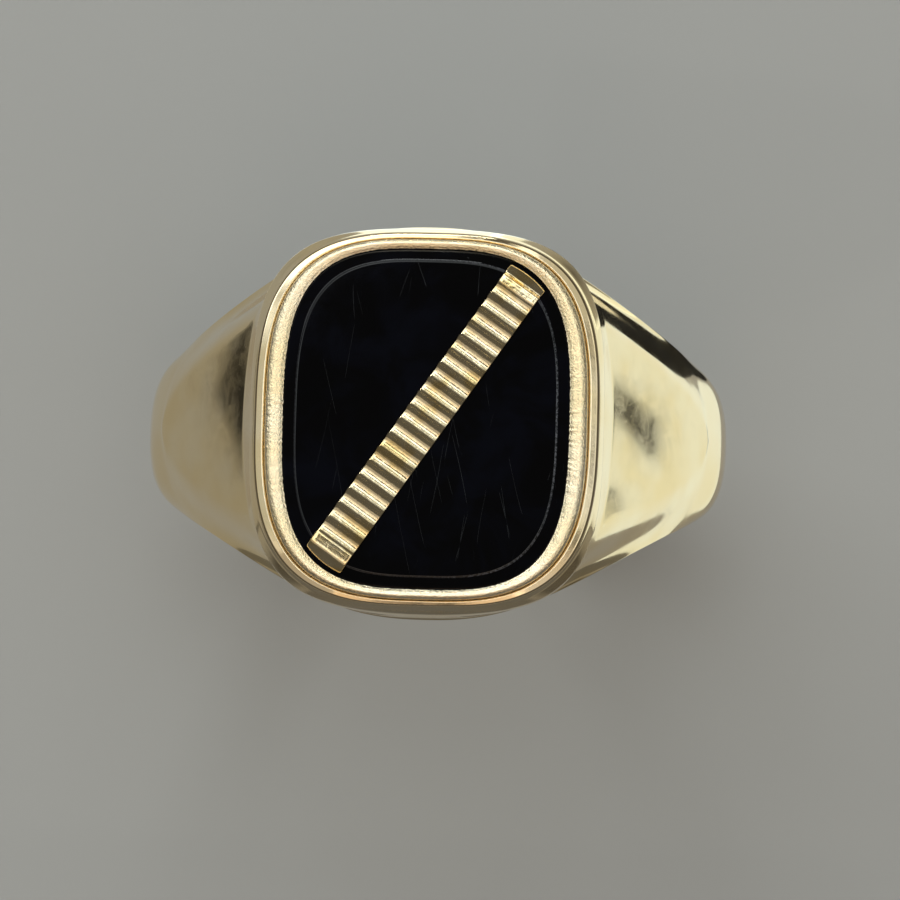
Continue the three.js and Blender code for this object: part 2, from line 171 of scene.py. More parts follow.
class BarSizes(bpy.types.PropertyGroup):
    """Sizes of the fluted bar and its pegs."""

    lean: angle("Lean", radians(55.6), "Angle of the bar from the line across the band")
    width: length("Width", 1.56 * MM, "Width of the bar")
    flutes: IntProperty(name="Flutes", description="Number of flutes", default=18, min=1)
    pitch: length("Flute pitch", 0.615 * MM, "Distance between the crests")
    depth: length("Flute depth", 0.14 * MM, "Depth of a flute")
    end_margin: length("End margin", 0.13 * MM, "Gap between the bar's ends and the opening")
    edge_round: length("Edge round", 0.05 * MM, "Rounding of the bar's long edges")
    end_round: length("End round", 0.1 * MM, "Rounding of the bar's ends")
    peg_radius: length("Peg radius", 0.45 * MM, "Radius of a peg's shaft")


class Finishes(bpy.types.PropertyGroup):
    """Colours and smoothness of the metal and the stone."""

    shank: colour("Shank", slot_colour("polished_gold"), "Polished gold of the band")
    head: colour("Frame", slot_colour("frame_gold"), "Polished gold of the head frame")
    collar: colour("Collar", slot_colour("burnished_gold"), "Burnished gold of the collar")
    inside: colour("Inside", slot_colour("inner_gold"), "Satin gold of the hidden pieces")
    bar: colour("Bar", slot_colour("fluted_gold"), "Bright-cut gold of the bar")
    stone: colour("Stone", slot_colour("onyx"), "Black onyx")
    polish: share("Polish roughness", 0.1, "Roughness of the polished gold")
    scratches: share("Scratches", 0.5, "How strongly hairline scratches show")


class StudioSettings(bpy.types.PropertyGroup):
    """The floor, the lights and the camera."""

    floor_colour: colour("Floor", (0.41, 0.41, 0.398), "Colour of the pale floor")
    floor_size: length("Floor size", 1.6, "Side of the square floor")
    camera_distance: length("Camera distance", 130 * MM, "From the camera to the stone")
    lens: FloatProperty(name="Lens", description="Focal length", default=145.6, unit="CAMERA")
    view_yaw: angle("View yaw", radians(2.01), "Turn of the camera about the finger's line")
    view_pitch: angle("View pitch", radians(3.81), "Tilt of the camera towards the ring's side")
    view_roll: angle("View roll", radians(1.59), "Turn of the camera about its own axis")
    brightness: share("Brightness", 1.0, "Strength of all the lights together", 10.0)


# ---------------------------------------------------------------- formulas


def mix(start, end, part):
    """Straight blend from start, at part 0, to end, at part 1."""
    return start + (end - start) * part


def ease(value, start, end):
    """0 before start, 1 after end, and a cubic that is level at both ends between them."""
    part = np.clip((value - start) / (end - start), 0, 1)
    return part * part * (3 - 2 * part)


def cushion(half_x, half_y, power, turn):
    """A cushion outline, a superellipse: in the direction of an angle, the reach at which
    |x / half_x| to the power plus |y / half_y| to the power is one."""
    across = np.abs(np.cos(turn) / half_x) ** power
    along = np.abs(np.sin(turn) / half_y) ** power
    reach = (across + along) ** (-1 / power)
    return reach * np.cos(turn), reach * np.sin(turn)


def bridge(start, corner, end, steps):
    """Quadratic curves from start to end that are drawn towards a corner, as a new axis."""
    part = np.linspace(0, 1, steps)[:, None]
    start, corner, end = start[..., None, :], corner[..., None, :], end[..., None, :]
    return (1 - part) ** 2 * start + 2 * part * (1 - part) * corner + part ** 2 * end


def rounded(levels, cuts, steps=7):
    """A closed profile with its corners rounded. Each corner is cut back by its own length
    along both of its sides and bridged by a quadratic curve, and one more level stands
    just outside each cut, so that the straight stretches stay straight in shading."""
    levels = np.array(levels, float)
    cuts = np.array(cuts, float)

    def towards(other, times):
        step = other - levels
        span = np.hypot(step[:, 0], step[:, 2])
        reach = np.minimum(cuts * times, span * 0.48)
        return levels + step * (reach / span)[:, None]

    before, after = np.roll(levels, 1, axis=0), np.roll(levels, -1, axis=0)
    arc = bridge(towards(before, 1.0), levels, towards(after, 1.0), steps)
    parts = [towards(before, 1.3)[:, None], arc, towards(after, 1.3)[:, None]]
    return np.concatenate(parts, axis=1).reshape(-1, levels.shape[1])


def carried_round(levels, columns):
    """A closed profile carried round a cushion outline: rows follow the profile, columns
    follow the angle. Each level has its half-widths, height and outline power."""
    turn = np.linspace(0, 2 * pi, columns, endpoint=False)
    half_x, half_y, height, power = (levels[:, k, None] for k in range(4))
    x, y = cushion(half_x, half_y, power, turn)
    return np.stack([x, y, np.broadcast_to(height, x.shape)], axis=-1)


def waves(turn, seed, slowest, fastest):
    """Even unevenness round a closed outline: a sum of sines with whole numbers of periods,
    of random phase and strength, scaled to a spread of about one."""
    random = np.random.default_rng(seed)
    periods = np.arange(slowest, fastest)
    phase = random.uniform(0, 2 * pi, len(periods))
    strength = random.uniform(0.3, 1, len(periods)) / sqrt(len(periods))
    return (strength * np.sin(turn[..., None] * periods + phase)).sum(axis=-1)


# ---------------------------------------------------------------- meshes


def quads(shape, around=(False, False), offset=0):
    """Corner numbers of the quads of a grid of points, closed round either direction."""
    rows, columns = shape
    i = np.arange(rows if around[0] else rows - 1)[:, None]
    j = np.arange(columns if around[1] else columns - 1)[None, :]
    below, beside = (i + 1) % rows, (j + 1) % columns
    corners = [i * columns + j, below * columns + j, below * columns + beside, i * columns + beside]
    return np.stack(np.broadcast_arrays(*corners), axis=-1).reshape(-1, 4) + offset


def mesh_of(name, grids, around=(False, False), merge=1e-4 * MM, sharp=radians(38)):
    """One closed mesh from grids of points: seams and poles are merged, empty faces are
    removed, and the faces are turned outwards. Raises an error if it isn't closed."""
    points, faces, count = [], [], 0
    for grid in grids:
        points.append(grid.reshape(-1, 3))
        faces.append(quads(grid.shape[:2], around, count))
        count += grid.shape[0] * grid.shape[1]
    mesh = bpy.data.meshes.new(name)
    mesh.from_pydata(np.concatenate(points).tolist(), [], np.concatenate(faces).tolist())
    work = bmesh.new()
    work.from_mesh(mesh)
    bmesh.ops.remove_doubles(work, verts=work.verts, dist=merge)
    bmesh.ops.dissolve_degenerate(work, dist=merge / 10, edges=work.edges)
    bmesh.ops.recalc_face_normals(work, faces=work.faces)
    open_edges = sum(not edge.is_manifold for edge in work.edges)
    work.to_mesh(mesh)
    work.free()
    if open_edges:
        raise RuntimeError(f"{name} has {open_edges} edges that don't join two faces")
    mesh.shade_smooth()
    mesh.set_sharp_from_angle(angle=sharp)
    mark_wear_and_highlight(mesh)
    return mesh


def mark_wear_and_highlight(mesh, gentle=1.5, tight=6.0):
    """Writes the point attribute that the finishes read for edge wear and for a painted highlight on
    edges. At each point it averages, over its edges, the change of the normal along the edge divided by
    the edge's length, which is how tightly the surface bends outwards there, per millimetre, and eases
    it from gentle to tight."""
    place = np.empty(len(mesh.vertices) * 3)
    mesh.vertices.foreach_get("co", place)
    place = place.reshape(-1, 3)
    facing = np.empty_like(place)
    mesh.vertices.foreach_get("normal", facing.reshape(-1))
    ends = np.empty(len(mesh.edges) * 2, int)
    mesh.edges.foreach_get("vertices", ends)
    first, second = ends.reshape(-1, 2).T
    step = (place[second] - place[first]) / MM
    turn = ((facing[second] - facing[first]) * step).sum(axis=1)
    bend = turn / np.maximum((step * step).sum(axis=1), 1e-8)
    total = np.zeros(len(place))
    count = np.zeros(len(place))
    for end in (first, second):
        np.add.at(total, end, bend)
        np.add.at(count, end, 1)
    wear_and_highlight = ease(total / np.maximum(count, 1), gentle, tight)
    mesh.attributes.new("wear_and_highlight", "FLOAT", "POINT").data.foreach_set("value", wear_and_highlight)


def piece_of(name, mesh, nodes, material):
    """An object that stands for frame nodes, rides on the ring and has one finish."""
    piece = bpy.data.objects.new(name, mesh)
    bpy.context.scene.collection.objects.link(piece)
    mesh.materials.append(material)
    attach(piece, BODY)
    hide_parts(*nodes)
    return piece


# ---------------------------------------------------------------- the shank


class Shank:
    """The shape of the shank, worked out for the quarter +X +Y and mirrored. Stations run
    from the middle of the head along the plinth outline, down the head wall, along the
    edge of the flat and round the crown of the band to the back."""

    HEAD_STATIONS = 56
    ACROSS = 22
    WALL_ROWS = 4
    FLAT_ROWS = 72
    BAND_STATIONS = 90
    SIDE_POINTS = 24
    ROUND_POINTS = 7
    BORE_ROWS = 10
    FLAT_CROWDING = 1.2
    BAND_CROWDING = 1.3
    SHOULDER_BLEND = {"from": 0.3, "to": 0.6}
    SQUARE_BLEND = 0.3
    TIP_BLEND = {"before": 0.25, "after": 0.15}
    WINDOW_ROUND = 0.12 * MM
    CROWN_LEVEL = {"head": 0.12, "shoulder": 0.45, "back": 1.0}
    LIP_ANGLE = {"head": radians(34), "shoulder": radians(8)}
    BACK_SQUARENESS = 0.7
    CROWN_HANDLE = 0.38
    LIP_HANDLE = {"head": 0.16, "shoulder": 0.26, "back": 0.38}

    def __init__(self, sizes, head):
        self.sizes = sizes
        self.head = head
        self.plinth = top_of("head_frame")
        self.tip_z = sqrt(sizes.band_radius ** 2 - sizes.flat_tip_x ** 2)
        self.tip_phi = atan2(sizes.flat_tip_x, self.tip_z)

    def hole_half_width(self, phi):
        """Half-width of the finger hole at an angle from the head: the width at the back
        plus a bell of the angle, one over one plus the angle to a power."""
        s = self.sizes
        bell = 1 / (1 + (phi / s.taper_angle) ** s.taper_power)
        return s.back_half_width + (s.head_half_width - s.back_half_width) * bell

    def flat_height(self, x, y):
        """Height of the flat: a straight slope, crowned along and fallen at its edges."""
        s = self.sizes
        along = (x - s.flat_base_x) / (s.flat_tip_x - s.flat_base_x)
        slope = mix(s.flat_base_z, self.tip_z, along)
        crown = s.flat_crown * 4 * along * (1 - along)
        fall = s.flat_edge_fall * (y / s.flat_half_width) ** 2 * (1 - along)
        return slope + crown - fall

    def on_bore(self, x, y):
        """The point of the finger hole's wall above a place in plan."""
        return np.stack([x, y, np.sqrt(self.sizes.bore_radius ** 2 - x * x)], axis=-1)

    def plinth_points(self, turn):
        """The outline that the head frame stands on."""
        x, y = cushion(self.plinth.x, self.plinth.y, self.head.plinth_power, turn)
        return np.stack([x, y, np.full_like(x, self.sizes.head_plane)], axis=-1)

    def side_handles(self, tops):
        """Angle, and the four points in the plane of that angle, as along the finger and
        radius, of the cubic curve from a crown point to the edge of the finger hole. Under
        the head it ends in a low lip, and at the back it ends square to the bore."""
        s = self.sizes
        phi = np.arctan2(tops[:, 0], tops[:, 2])
        top_y, top_radius = tops[:, 1], np.hypot(tops[:, 0], tops[:, 2])
        edge = self.hole_half_width(phi)
        rise, run = top_radius - s.bore_radius, edge - top_y
        slant, span = np.arctan2(rise, run), np.hypot(rise, run)
        to_back = ease(
            phi, self.tip_phi - self.TIP_BLEND["before"], self.tip_phi + self.TIP_BLEND["after"])
        to_shoulder = ease(phi, self.SHOULDER_BLEND["from"], self.SHOULDER_BLEND["to"])
        level = mix(self.CROWN_LEVEL["head"], self.CROWN_LEVEL["shoulder"], to_shoulder)
        level = level + (self.CROWN_LEVEL["back"] - self.CROWN_LEVEL["shoulder"]) * to_back
        start = slant * (1 - level)
        square = mix(slant, pi / 2, self.BACK_SQUARENESS)
        to_square = ease(phi, self.tip_phi - self.SQUARE_BLEND, self.tip_phi + self.SQUARE_BLEND)
        lip_angle = mix(self.LIP_ANGLE["head"], self.LIP_ANGLE["shoulder"], to_shoulder)
        lip_handle = mix(self.LIP_HANDLE["head"], self.LIP_HANDLE["shoulder"], to_shoulder)
        end = mix(lip_angle, square, to_square)
        reach = span * self.CROWN_HANDLE
        lip = span * mix(lip_handle, self.LIP_HANDLE["back"], to_square)
        points = [
            (top_y, top_radius),
            (top_y + reach * np.cos(start), top_radius - reach * np.sin(start)),
            (edge - lip * np.cos(end), s.bore_radius + lip * np.sin(end)),
            (edge, np.full_like(edge, s.bore_radius)),
        ]
        return phi, np.array(points).transpose(2, 0, 1)

    @staticmethod
    def cubic(points, part):
        """Points of cubic curves: one row a station, one column a part of the way."""
        rest = 1 - part
        weights = [rest ** 3, 3 * part * rest ** 2, 3 * part ** 2 * rest, part ** 3]
        return sum(w[..., None] * points[:, k, None] for k, w in enumerate(weights))

    @staticmethod
    def around(phi, along_radius):
        """Points at angles round the finger from pairs of along-the-finger and radius."""
        y, radius = along_radius[..., 0], along_radius[..., 1]
        turn = phi.reshape(-1, *([1] * (radius.ndim - 1)))
        return np.stack([radius * np.sin(turn), y, radius * np.cos(turn)], axis=-1)

    def flat_rows(self, part):
        """Rows from the plinth outline down the head wall and along the flat to its tip.
        Returns the rows, their edge points and how far each edge is rounded."""
        s = self.sizes
        plinth = self.plinth_points(part)
        part = plinth[:, 1] / s.flat_half_width
        flat_length = hypot(s.flat_tip_x - s.flat_corner_x, s.flat_base_z - self.tip_z)
        start = s.foot_round / flat_length
        stretch = 1 - (1 - np.linspace(0, 1, self.FLAT_ROWS)) ** self.FLAT_CROWDING
        along = np.concatenate([[0.0], mix(start, 1.0, stretch)])
        edge_x = mix(s.flat_corner_x, s.flat_tip_x, along)
        half = s.flat_half_width * (1 - along) ** s.flat_taper
        bow = (s.flat_base_x - s.flat_corner_x) * (1 - along)
        cut = np.minimum(s.flat_round * ease(along, start, 0.1), half * 0.3)
        inner = np.where(half > 0, 1 - cut / np.maximum(half, 1e-9), 1.0)

        def row_points(shares):
            x = edge_x[:, None] + bow[:, None] * (1 - shares ** 2)
            y = half[:, None] * shares
            return np.stack([x, y, self.flat_height(x, y)], axis=-1)

        rows = row_points(part[None, :] * inner[:, None])
        edges = row_points(np.ones((len(along), 1)))[:, 0]
        foot = rows[0]
        wall_span = np.linalg.norm(plinth - foot, axis=1)[:, None]
        above = foot + (plinth - foot) * (s.foot_round / wall_span)
        wall = mix(plinth, above, np.linspace(0, 1, self.WALL_ROWS)[:, None, None])
        corner = bridge(above, foot, rows[1], self.ROUND_POINTS).transpose(1, 0, 2)
        wall = np.concatenate([wall[:-1], corner[:-1]])
        rows = np.concatenate([wall, rows[1:]])
        edges = np.concatenate([wall[:, -1], edges[1:]])
        cuts = np.concatenate([np.zeros(len(wall)), cut[1:]])
        return rows, edges, cuts

    def patches(self):
        """All the grids of one quarter."""
        s = self.sizes
        corner_y = s.flat_half_width
        rest = 1 - (corner_y / self.plinth.y) ** self.head.plinth_power
        corner_x = self.plinth.x * rest ** (1 / self.head.plinth_power)
        corner_turn = atan2(corner_y, corner_x)
        across = corner_turn * np.linspace(0, 1, self.ACROSS)
        head_tops = self.plinth_points(np.linspace(pi / 2, corner_turn, self.HEAD_STATIONS))
        rows, edges, cuts = self.flat_rows(across)
        to_pi = np.linspace(0, 1, self.BAND_STATIONS) ** self.BAND_CROWDING
        band_phi = mix(self.tip_phi, pi, to_pi)
        band_tops = self.around(band_phi, np.array([[0.0, s.band_radius]] * len(band_phi)))

        tops = np.concatenate([head_tops, edges[1:], band_tops[1:]])
        cut = np.concatenate([np.zeros(len(head_tops)), cuts[1:], np.zeros(len(band_tops) - 1)])
        phi, points = self.side_handles(tops)
        first_handle = np.linalg.norm(points[:, 1] - points[:, 0], axis=1)
        last_handle = np.linalg.norm(points[:, 3] - points[:, 2], axis=1)
        begin = cut / (3 * first_handle)
        finish = 1 - s.hole_round / (3 * last_handle)
        part = mix(begin[:, None], finish[:, None], np.linspace(0, 1, self.SIDE_POINTS)[None, :])
        side = self.around(phi, self.cubic(points, part))

        flat_start = len(head_tops)
        crown_from = tops.copy()
        crown_from[flat_start:flat_start + len(rows) - 1] = rows[1:, -1]
        crown_round = bridge(crown_from, tops, side[:, 0], self.ROUND_POINTS)
        hole_edge = points[:, 3]
        hole_inner = hole_edge - np.array([s.hole_round, 0.0])
        hole_inner = self.around(phi, hole_inner)
        hole_round = bridge(side[:, -1], self.around(phi, hole_edge), hole_inner, self.ROUND_POINTS)
        sides = np.concatenate([crown_round[:, :-1], side, hole_round[:, 1:]], axis=1)

        shares = rows[0][:, 1] / corner_y
        behind = slice(len(head_tops) - 1, None)
        bore = np.stack([
            np.broadcast_to(hole_inner[behind, 0, None], (len(hole_inner[behind]), len(shares))),
            hole_inner[behind, 1, None] * shares,
            np.broadcast_to(hole_inner[behind, 2, None], (len(hole_inner[behind]), len(shares))),
        ], axis=-1)

        outline = np.concatenate([rows[0], head_tops[::-1][1:]])
        bore_edge = np.concatenate([bore[0], hole_inner[:len(head_tops) - 1][::-1]])
        return [rows, sides, bore, self.head_rings(outline, bore_edge)]

    def head_rings(self, outline, bore_edge):
        """From the plinth outline in: the pocket of the setting, its ledge, the window
        behind the stone with a rounded edge, and the wall of the finger hole."""
        head, s = self.head, self.sizes
        turn = np.arctan2(outline[:, 1], outline[:, 0])
        collar = top_of("setting_collar")
        pocket_x, pocket_y = collar.x + FIT, collar.y + FIT
        ledge = bottom_of("setting_collar").z - FIT

        def ring(half_x, half_y, height):
            x, y = cushion(half_x, half_y, head.outline_power, turn)
            return np.stack([x, y, np.broadcast_to(height, x.shape)], axis=-1)

        window = ring(head.window_half_x, head.window_half_y, 0.0)
        round_by = self.WINDOW_ROUND
        wide = ring(head.window_half_x + round_by, head.window_half_y + round_by, 0.0)
        edge = self.on_bore(window[:, 0], window[:, 1])
        above = edge + np.array([0, 0, round_by])
        beside = self.on_bore(wide[:, 0], wide[:, 1])
        window_round = bridge(above, edge, beside, self.ROUND_POINTS).transpose(1, 0, 2)
        parts = np.linspace(0, 1, self.BORE_ROWS)[1:-1, None]
        middle = self.on_bore(
            mix(beside[:, 0], bore_edge[:, 0], parts), mix(beside[:, 1], bore_edge[:, 1], parts))
        return np.concatenate([
            outline[None],
            ring(pocket_x, pocket_y, s.head_plane)[None],
            ring(pocket_x, pocket_y, ledge)[None],
            ring(head.window_half_x, head.window_half_y, ledge)[None],
            window_round,
            middle,
            bore_edge[None],
        ])


def mirrored(grids):
    """Grids of the quarter +X +Y, copied into all four quarters."""
    signs = [np.array([sign_x, sign_y, 1]) for sign_x in (1, -1) for sign_y in (1, -1)]
    return [grid * sign for grid in grids for sign in signs]


# ---------------------------------------------------------------- shader expressions


class Wire:
    """One output of a material's nodes. Arithmetic on it adds Math nodes."""

    def __init__(self, finish, socket):
        self.finish = finish
        self.socket = socket

    def math(self, operation, *values):
        return self.finish.node("ShaderNodeMath", {"operation": operation}, dict(enumerate(values)))

    def __add__(self, other):
        return self.math("ADD", self, other)

    def __sub__(self, other):
        return self.math("SUBTRACT", self, other)

    def __mul__(self, other):
        return self.math("MULTIPLY", self, other)

    def __abs__(self):
        return self.math("ABSOLUTE", self)

    __radd__ = __add__


class Finish:
    """A material under construction."""

    def __init__(self, name):
        self.material = bpy.data.materials.new(name)
        self.material.use_nodes = True
        self.tree = self.material.node_tree
        self.shader = next(n for n in self.tree.nodes if n.type == "BSDF_PRINCIPLED")

    def node(self, kind, settings=None, inputs=None, output=0):
        """Adds a node: its settings first, then the values or links of its sockets."""
        node = self.tree.nodes.new(kind)
        for name, value in (settings or {}).items():
            setattr(node, name, value)
        for name, value in (inputs or {}).items():
            self.feed(node.inputs[name], value)
        return Wire(self, node.outputs[output])

    def feed(self, socket, value):
        """Links a wire to a socket, or sets the socket's own value."""
        if isinstance(value, Wire):
            self.tree.links.new(value.socket, socket)
        else:
            socket.default_value = value

    def set(self, **values):
        """Sockets of the surface shader, by name with _ for a space."""
        for name, value in values.items():
            self.feed(self.shader.inputs[name.replace("_", " ")], value)

    def place(self):
        """Object coordinates in millimetres."""
        here = self.node("ShaderNodeTexCoord", output="Object")
        return self.node("ShaderNodeVectorMath", {"operation": "SCALE"}, {0: here, "Scale": 1 / MM})

    def stretched(self, place, turn, scale):
        """Coordinates turned about the axes, then scaled along them."""
        turned = self.node("ShaderNodeVectorRotate", {"rotation_type": "EULER_XYZ"},
                           {"Vector": place, "Rotation": turn})
        return self.node("ShaderNodeVectorMath", {"operation": "MULTIPLY"}, {0: turned, 1: scale})

    def noise(self, place, scale, detail=3.0, rough=0.55, warp=0.0):
        """Smooth noise from 0 to 1, with features of about one over the scale."""
        return self.node("ShaderNodeTexNoise", None, {
            "Vector": place, "Scale": scale, "Detail": detail, "Roughness": rough,
            "Distortion": warp,
        })

    def between(self, value, low, high, to_low=0.0, to_high=1.0):
        """Eases a value from to_low, at low, to to_high, at high."""
        return self.node("ShaderNodeMapRange", {"interpolation_type": "SMOOTHSTEP"}, {
            "Value": value, "From Min": low, "From Max": high,
            "To Min": to_low, "To Max": to_high,
        })

    def blend(self, factor, first, second):
        """Colour mix."""
        return self.node("ShaderNodeMix", {"data_type": "RGBA"},
                         {"Factor": factor, "A": first, "B": second}, output="Result")

    def hairlines(self, place, turn, thickness, amount):
        """Fine scratches near one direction: the contour lines of a noise that is drawn out
        along that direction, broken up by a second noise. 1 on a scratch, 0 beside it."""
        drawn = self.stretched(place, turn, (0.12, 2.6, 2.6))
        field = self.noise(drawn, 1.0, 0.0, 0.5)
        lines = self.between(abs(field - 0.5), 0.0, thickness, 1.0, 0.0)
        patches = self.noise(drawn, 1.7, 1.0, 0.5)
        return lines * self.between(patches, 0.62 - amount, 0.75 - amount)

    def scratched(self, place, directions):
        """Hairlines in several directions together."""
        first, *others = directions
        total = self.hairlines(place, *first)
        for direction in others:
            total = total + self.hairlines(place, *direction)
        return total

    def bump(self, height, depth):
        """A normal from heights of 0 to 1 that stand for a depth in metres."""
        return self.node("ShaderNodeBump", None, {"Height": height, "Distance": depth, "Strength": 1.0})


# Hairlines of a finish: the turn of their direction, their thickness and their amount.
GOLD_HAIRLINES = (
    ((0.3, 0.2, 0.5), 0.006, 0.08),
    ((0.9, -0.4, 2.1), 0.005, 0.06),
    ((-0.5, 0.8, 1.2), 0.007, 0.03),
)
ONYX_HAIRLINES = (
    ((0.0, 0.0, 1.35), 0.003, 0.04),
    ((0.0, 0.0, 1.75), 0.0025, 0.03),
)


def tinted(shade, times):
    """A colour made lighter or darker, as red, green, blue and alpha."""
    return (*(min(1.0, c * t) for c, t in zip(shade, times)), 1.0)


def gold_finish(name, shade, roughness, scratches, grain=0.0, grain_scale=9.0):
    """Gold: clouds of slightly warmer and paler metal, smears of polish in the roughness,
    hairlines in three directions, grain, and tight outward edges that are smoother from wear, with tiny
    nicks, and painted paler and brighter as a painted highlight."""
    finish = Finish(name)
    place = finish.place()
    clouds = finish.noise(place, 0.35, 2.0)
    warm, pale = tinted(shade, (1.0, 0.95, 0.86)), tinted(shade, (1.03, 1.03, 1.08))
    base = finish.blend(finish.between(clouds, 0.35, 0.65), warm, pale)
    wear_and_highlight = finish.node("ShaderNodeAttribute", {"attribute_name": "wear_and_highlight"}, output="Fac")
    # Painted highlight: the colour of tight outward edges is painted paler and brighter.
    base = finish.blend(wear_and_highlight * 0.5, base, tinted(shade, (1.08, 1.12, 1.28)))
    lines = finish.scratched(place, GOLD_HAIRLINES)
    smears = finish.noise(place, 1.3, 4.0, 0.6, 0.6)
    rough = finish.between(smears, 0.3, 0.75, roughness * 0.75, roughness * 1.45)
    rough = rough + lines * (0.16 * scratches) - wear_and_highlight * (roughness * 0.25)
    speckle = finish.noise(place, grain_scale, 3.0, 0.65)
    nicks = finish.between(finish.noise(place, 5.0, 2.0), 0.7, 0.76) * wear_and_highlight
    height = speckle * grain - lines * (0.35 * scratches) - nicks * 0.3
    finish.set(Base_Color=base, Metallic=1.0, Roughness=rough, Normal=finish.bump(height, 2.2e-6))
    return finish.material


def fluted_finish(name, shade, roughness, lean):
    """Bright-cut gold: fine cutter lines that run along each flute, across the bar."""
    finish = Finish(name)
    place = finish.place()
    across = finish.stretched(place, (0.0, 0.0, pi / 2 - lean), (0.5, 16.0, 5.0))
    lines = finish.noise(across, 1.0, 3.0, 0.6)
    clouds = finish.noise(place, 1.1, 3.0)
    dull = finish.between(clouds, 0.45, 0.7)
    base = finish.blend(dull, tinted(shade, (1.03, 1.03, 1.05)), tinted(shade, (0.94, 0.84, 0.6)))
    chatter = finish.noise(place, 3.2, 2.0, 0.5, 0.4)
    rough = finish.between(lines, 0.3, 0.7, roughness * 0.7, roughness * 1.6)
    height = lines * 0.6 + chatter * 1.6
    finish.set(Base_Color=base, Metallic=1.0, Roughness=rough, Normal=finish.bump(height, 5e-6))
    return finish.material


def onyx_finish(name, shade, scratches):
    """Polished black onyx: a mirror surface with hairlines, a faint blue sheen painted into
    its colour in patches, and a painted highlight, broken by noise, on the arris where it faces the +X
    side."""
    finish = Finish(name)
    place = finish.place()
    lines = finish.scratched(place, ONYX_HAIRLINES)
    # Painted sheen: a faint blue reflection painted into the colour in random patches; the same mask
    # adds a little roughness.
    painted_blue_sheen = finish.between(finish.noise(place, 0.45, 3.0, 0.6, 0.5), 0.4, 0.7)
    base = finish.blend(painted_blue_sheen, tinted(shade, (0.05, 0.05, 0.06)), tinted(shade, (0.12, 0.15, 0.26)))
    base = finish.blend(lines * (0.5 * scratches), base, (0.02, 0.024, 0.032, 1.0))
    side = finish.node("ShaderNodeSeparateXYZ", None, {"Vector": place}, output="X")
    wear_and_highlight = finish.node("ShaderNodeAttribute", {"attribute_name": "wear_and_highlight"}, output="Fac")
    # Painted highlight: pale, broken marks on the arris, only towards the +X side; the same mask also
    # roughens them.
    painted_arris_highlight = finish.between(finish.noise(place, 9.0, 2.0, 0.7), 0.42, 0.58)
    painted_arris_highlight = painted_arris_highlight * wear_and_highlight * finish.between(side, 0.0, 4.0, 0.1, 1.0)
    base = finish.blend(painted_arris_highlight, base, (0.34, 0.35, 0.4, 1.0))
    rough = 0.03 + painted_blue_sheen * 0.015 + lines * (0.2 * scratches) + painted_arris_highlight * 0.4
    finish.set(
        Base_Color=base, Roughness=rough, IOR=1.54, Metallic=0.0, Specular_IOR_Level=0.2,
        Normal=finish.bump(lines * -1.0, 0.8e-6),
    )
    return finish.material


def floor_finish(shade):
    """Pale matt card with faint mottling."""
    finish = Finish("floor_card")
    mottle = finish.noise(finish.place(), 0.05, 4.0)
    base = finish.blend(mottle, tinted(shade, (0.97, 0.97, 0.97)), tinted(shade, (1.03, 1.03, 1.03)))
    finish.set(Base_Color=base, Roughness=0.75)
    return finish.material


def cloth_finish(name, grey):
    """Cloth of a studio flag, with a faint weave."""
    finish = Finish(name)
    weave = finish.noise(finish.place(), 1.5, 2.0)
    base = finish.blend(weave, (grey * 0.9, grey * 0.9, grey * 0.9, 1.0), (grey, grey, grey, 1.0))
    finish.set(Base_Color=base, Roughness=0.9)
    return finish.material


# ---------------------------------------------------------------- operators


class SIGNET_OT_shank(bpy.types.Operator):
    """Makes the band with its shoulders, flats, head wall and window"""

    bl_idname = "signet.shank"
    bl_label = "Shank"

    def execute(self, context):
        scene = context.scene
        shape = Shank(scene.signet_shank, scene.signet_head)
        mesh = mesh_of("shank_surface", mirrored(shape.patches()))
        tone = scene.signet_finishes
        gold = gold_finish("polished_gold", tone.shank, tone.polish, tone.scratches)
        piece = piece_of("shank_body", mesh, ["shank"], gold)
        self.soften_tips(piece, shape)
        even = piece.modifiers.new("even_shading", "WEIGHTED_NORMAL")
        even.keep_sharp = True
        return {"FINISHED"}

    @staticmethod
    def soften_tips(piece, shape, reach=0.16, passes=120):
        """Evens out the crease between the tips of the flats and the band. The effect eases
        away with the angle from the tip and towards the finger hole."""
        place = np.empty(len(piece.data.vertices) * 3)
        piece.data.vertices.foreach_get("co", place)
        x, _, z = place.reshape(-1, 3).T
        away = np.abs(np.arctan2(np.abs(x), z) - shape.tip_phi)
        above_hole = np.hypot(x, z) - shape.sizes.bore_radius
        weights = (1 - ease(away, 0.3 * reach, reach)) * ease(above_hole, 0.15 * MM, 0.6 * MM)
        group = piece.vertex_groups.new(name="tips")
        for index in np.flatnonzero(weights):
            group.add([int(index)], float(weights[index]), "REPLACE")
        soften = piece.modifiers.new("soft_tips", "SMOOTH")
        soften.vertex_group = group.name
        soften.factor = 0.5
        soften.iterations = passes


